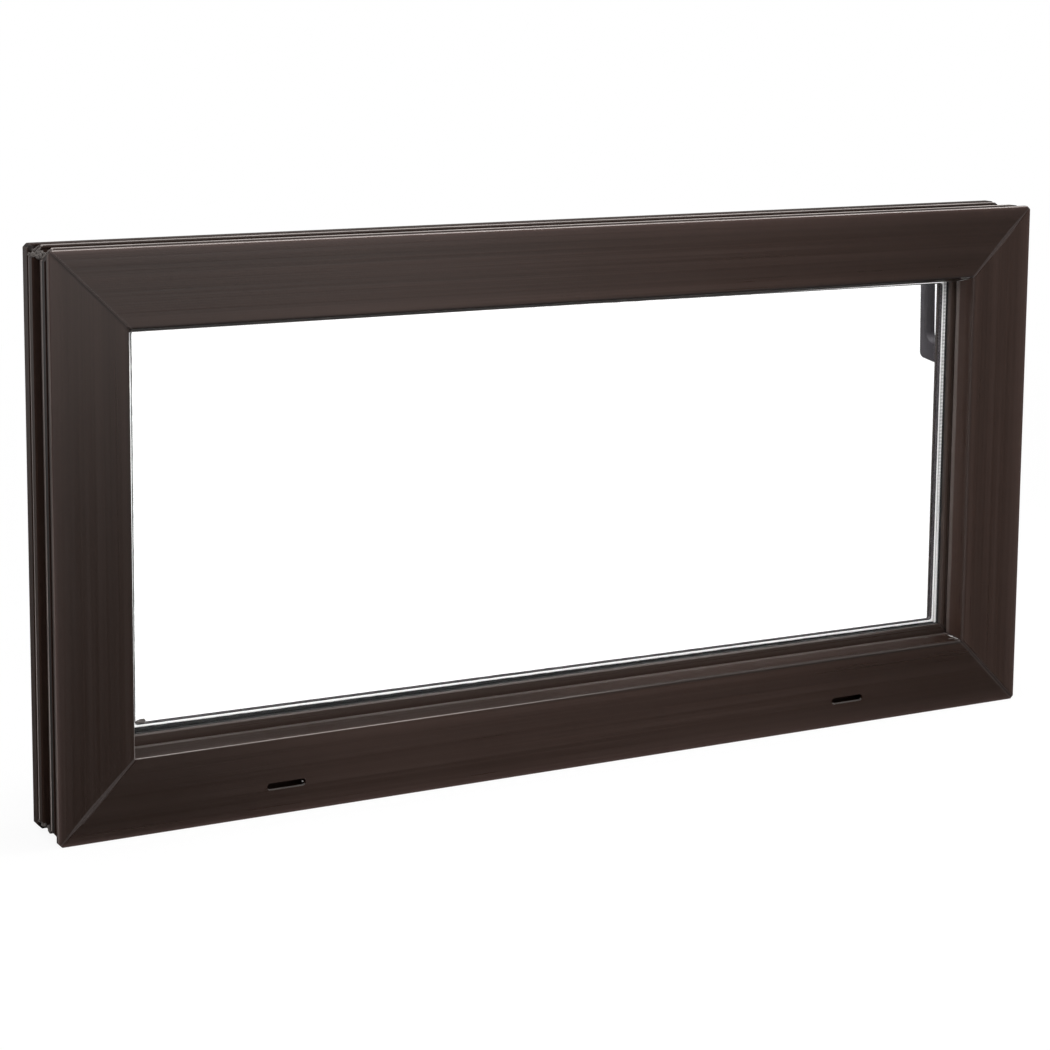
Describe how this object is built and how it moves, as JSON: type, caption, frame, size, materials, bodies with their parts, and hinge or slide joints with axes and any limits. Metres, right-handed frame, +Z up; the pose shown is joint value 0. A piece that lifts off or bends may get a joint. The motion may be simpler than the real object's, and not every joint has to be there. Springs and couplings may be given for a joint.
{
  "type": "basement window",
  "caption": "Low, wide bottom-hung basement window of mitred brown plastic profiles with a sealed double pane, inner lever handles, bottom hinges and front drain slots.",
  "frame": {"origin": "under the middle of the overall box, on the sill face", "axes": "+X right as seen from outside, +Y into the room, +Z up"},
  "size_m": [0.8, 0.0918, 0.4],
  "materials": {
    "brown_profile": "semi-gloss extruded plastic",
    "clear_glass": "clear float glass",
    "spacer_metal": "bright mill finish",
    "black_sealant": "matt",
    "black_rubber": "matt",
    "handle_coating": "satin powder coat",
    "hinge_coating": "satin powder coat",
    "pin_steel": "plain"
  },
  "bodies": {
    "root": {"frame_bottom": "brown_profile", "frame_top": "brown_profile", "frame_left": "brown_profile", "frame_right": "brown_profile", "sash_bottom": "brown_profile", "sash_top": "brown_profile", "sash_left": "brown_profile", "sash_right": "brown_profile", "bead_bottom": "brown_profile", "bead_top": "brown_profile", "bead_left": "brown_profile", "bead_right": "brown_profile", "outer_pane": "clear_glass", "inner_pane": "clear_glass", "spacer_bar": "spacer_metal", "edge_sealant": "black_sealant", "outer_glazing_gasket": "black_rubber", "inner_glazing_gasket": "black_rubber", "frame_seal": "black_rubber", "overlap_seal": "black_rubber", "handle_base_left": "handle_coating", "handle_lever_left": "handle_coating", "hinge_frame_leaf_left": "hinge_coating", "hinge_sash_leaf_left": "hinge_coating", "hinge_pin_left": "pin_steel", "handle_base_right": "handle_coating", "handle_lever_right": "handle_coating", "hinge_frame_leaf_right": "hinge_coating", "hinge_sash_leaf_right": "hinge_coating", "hinge_pin_right": "pin_steel"}
  },
  "joints": []
}
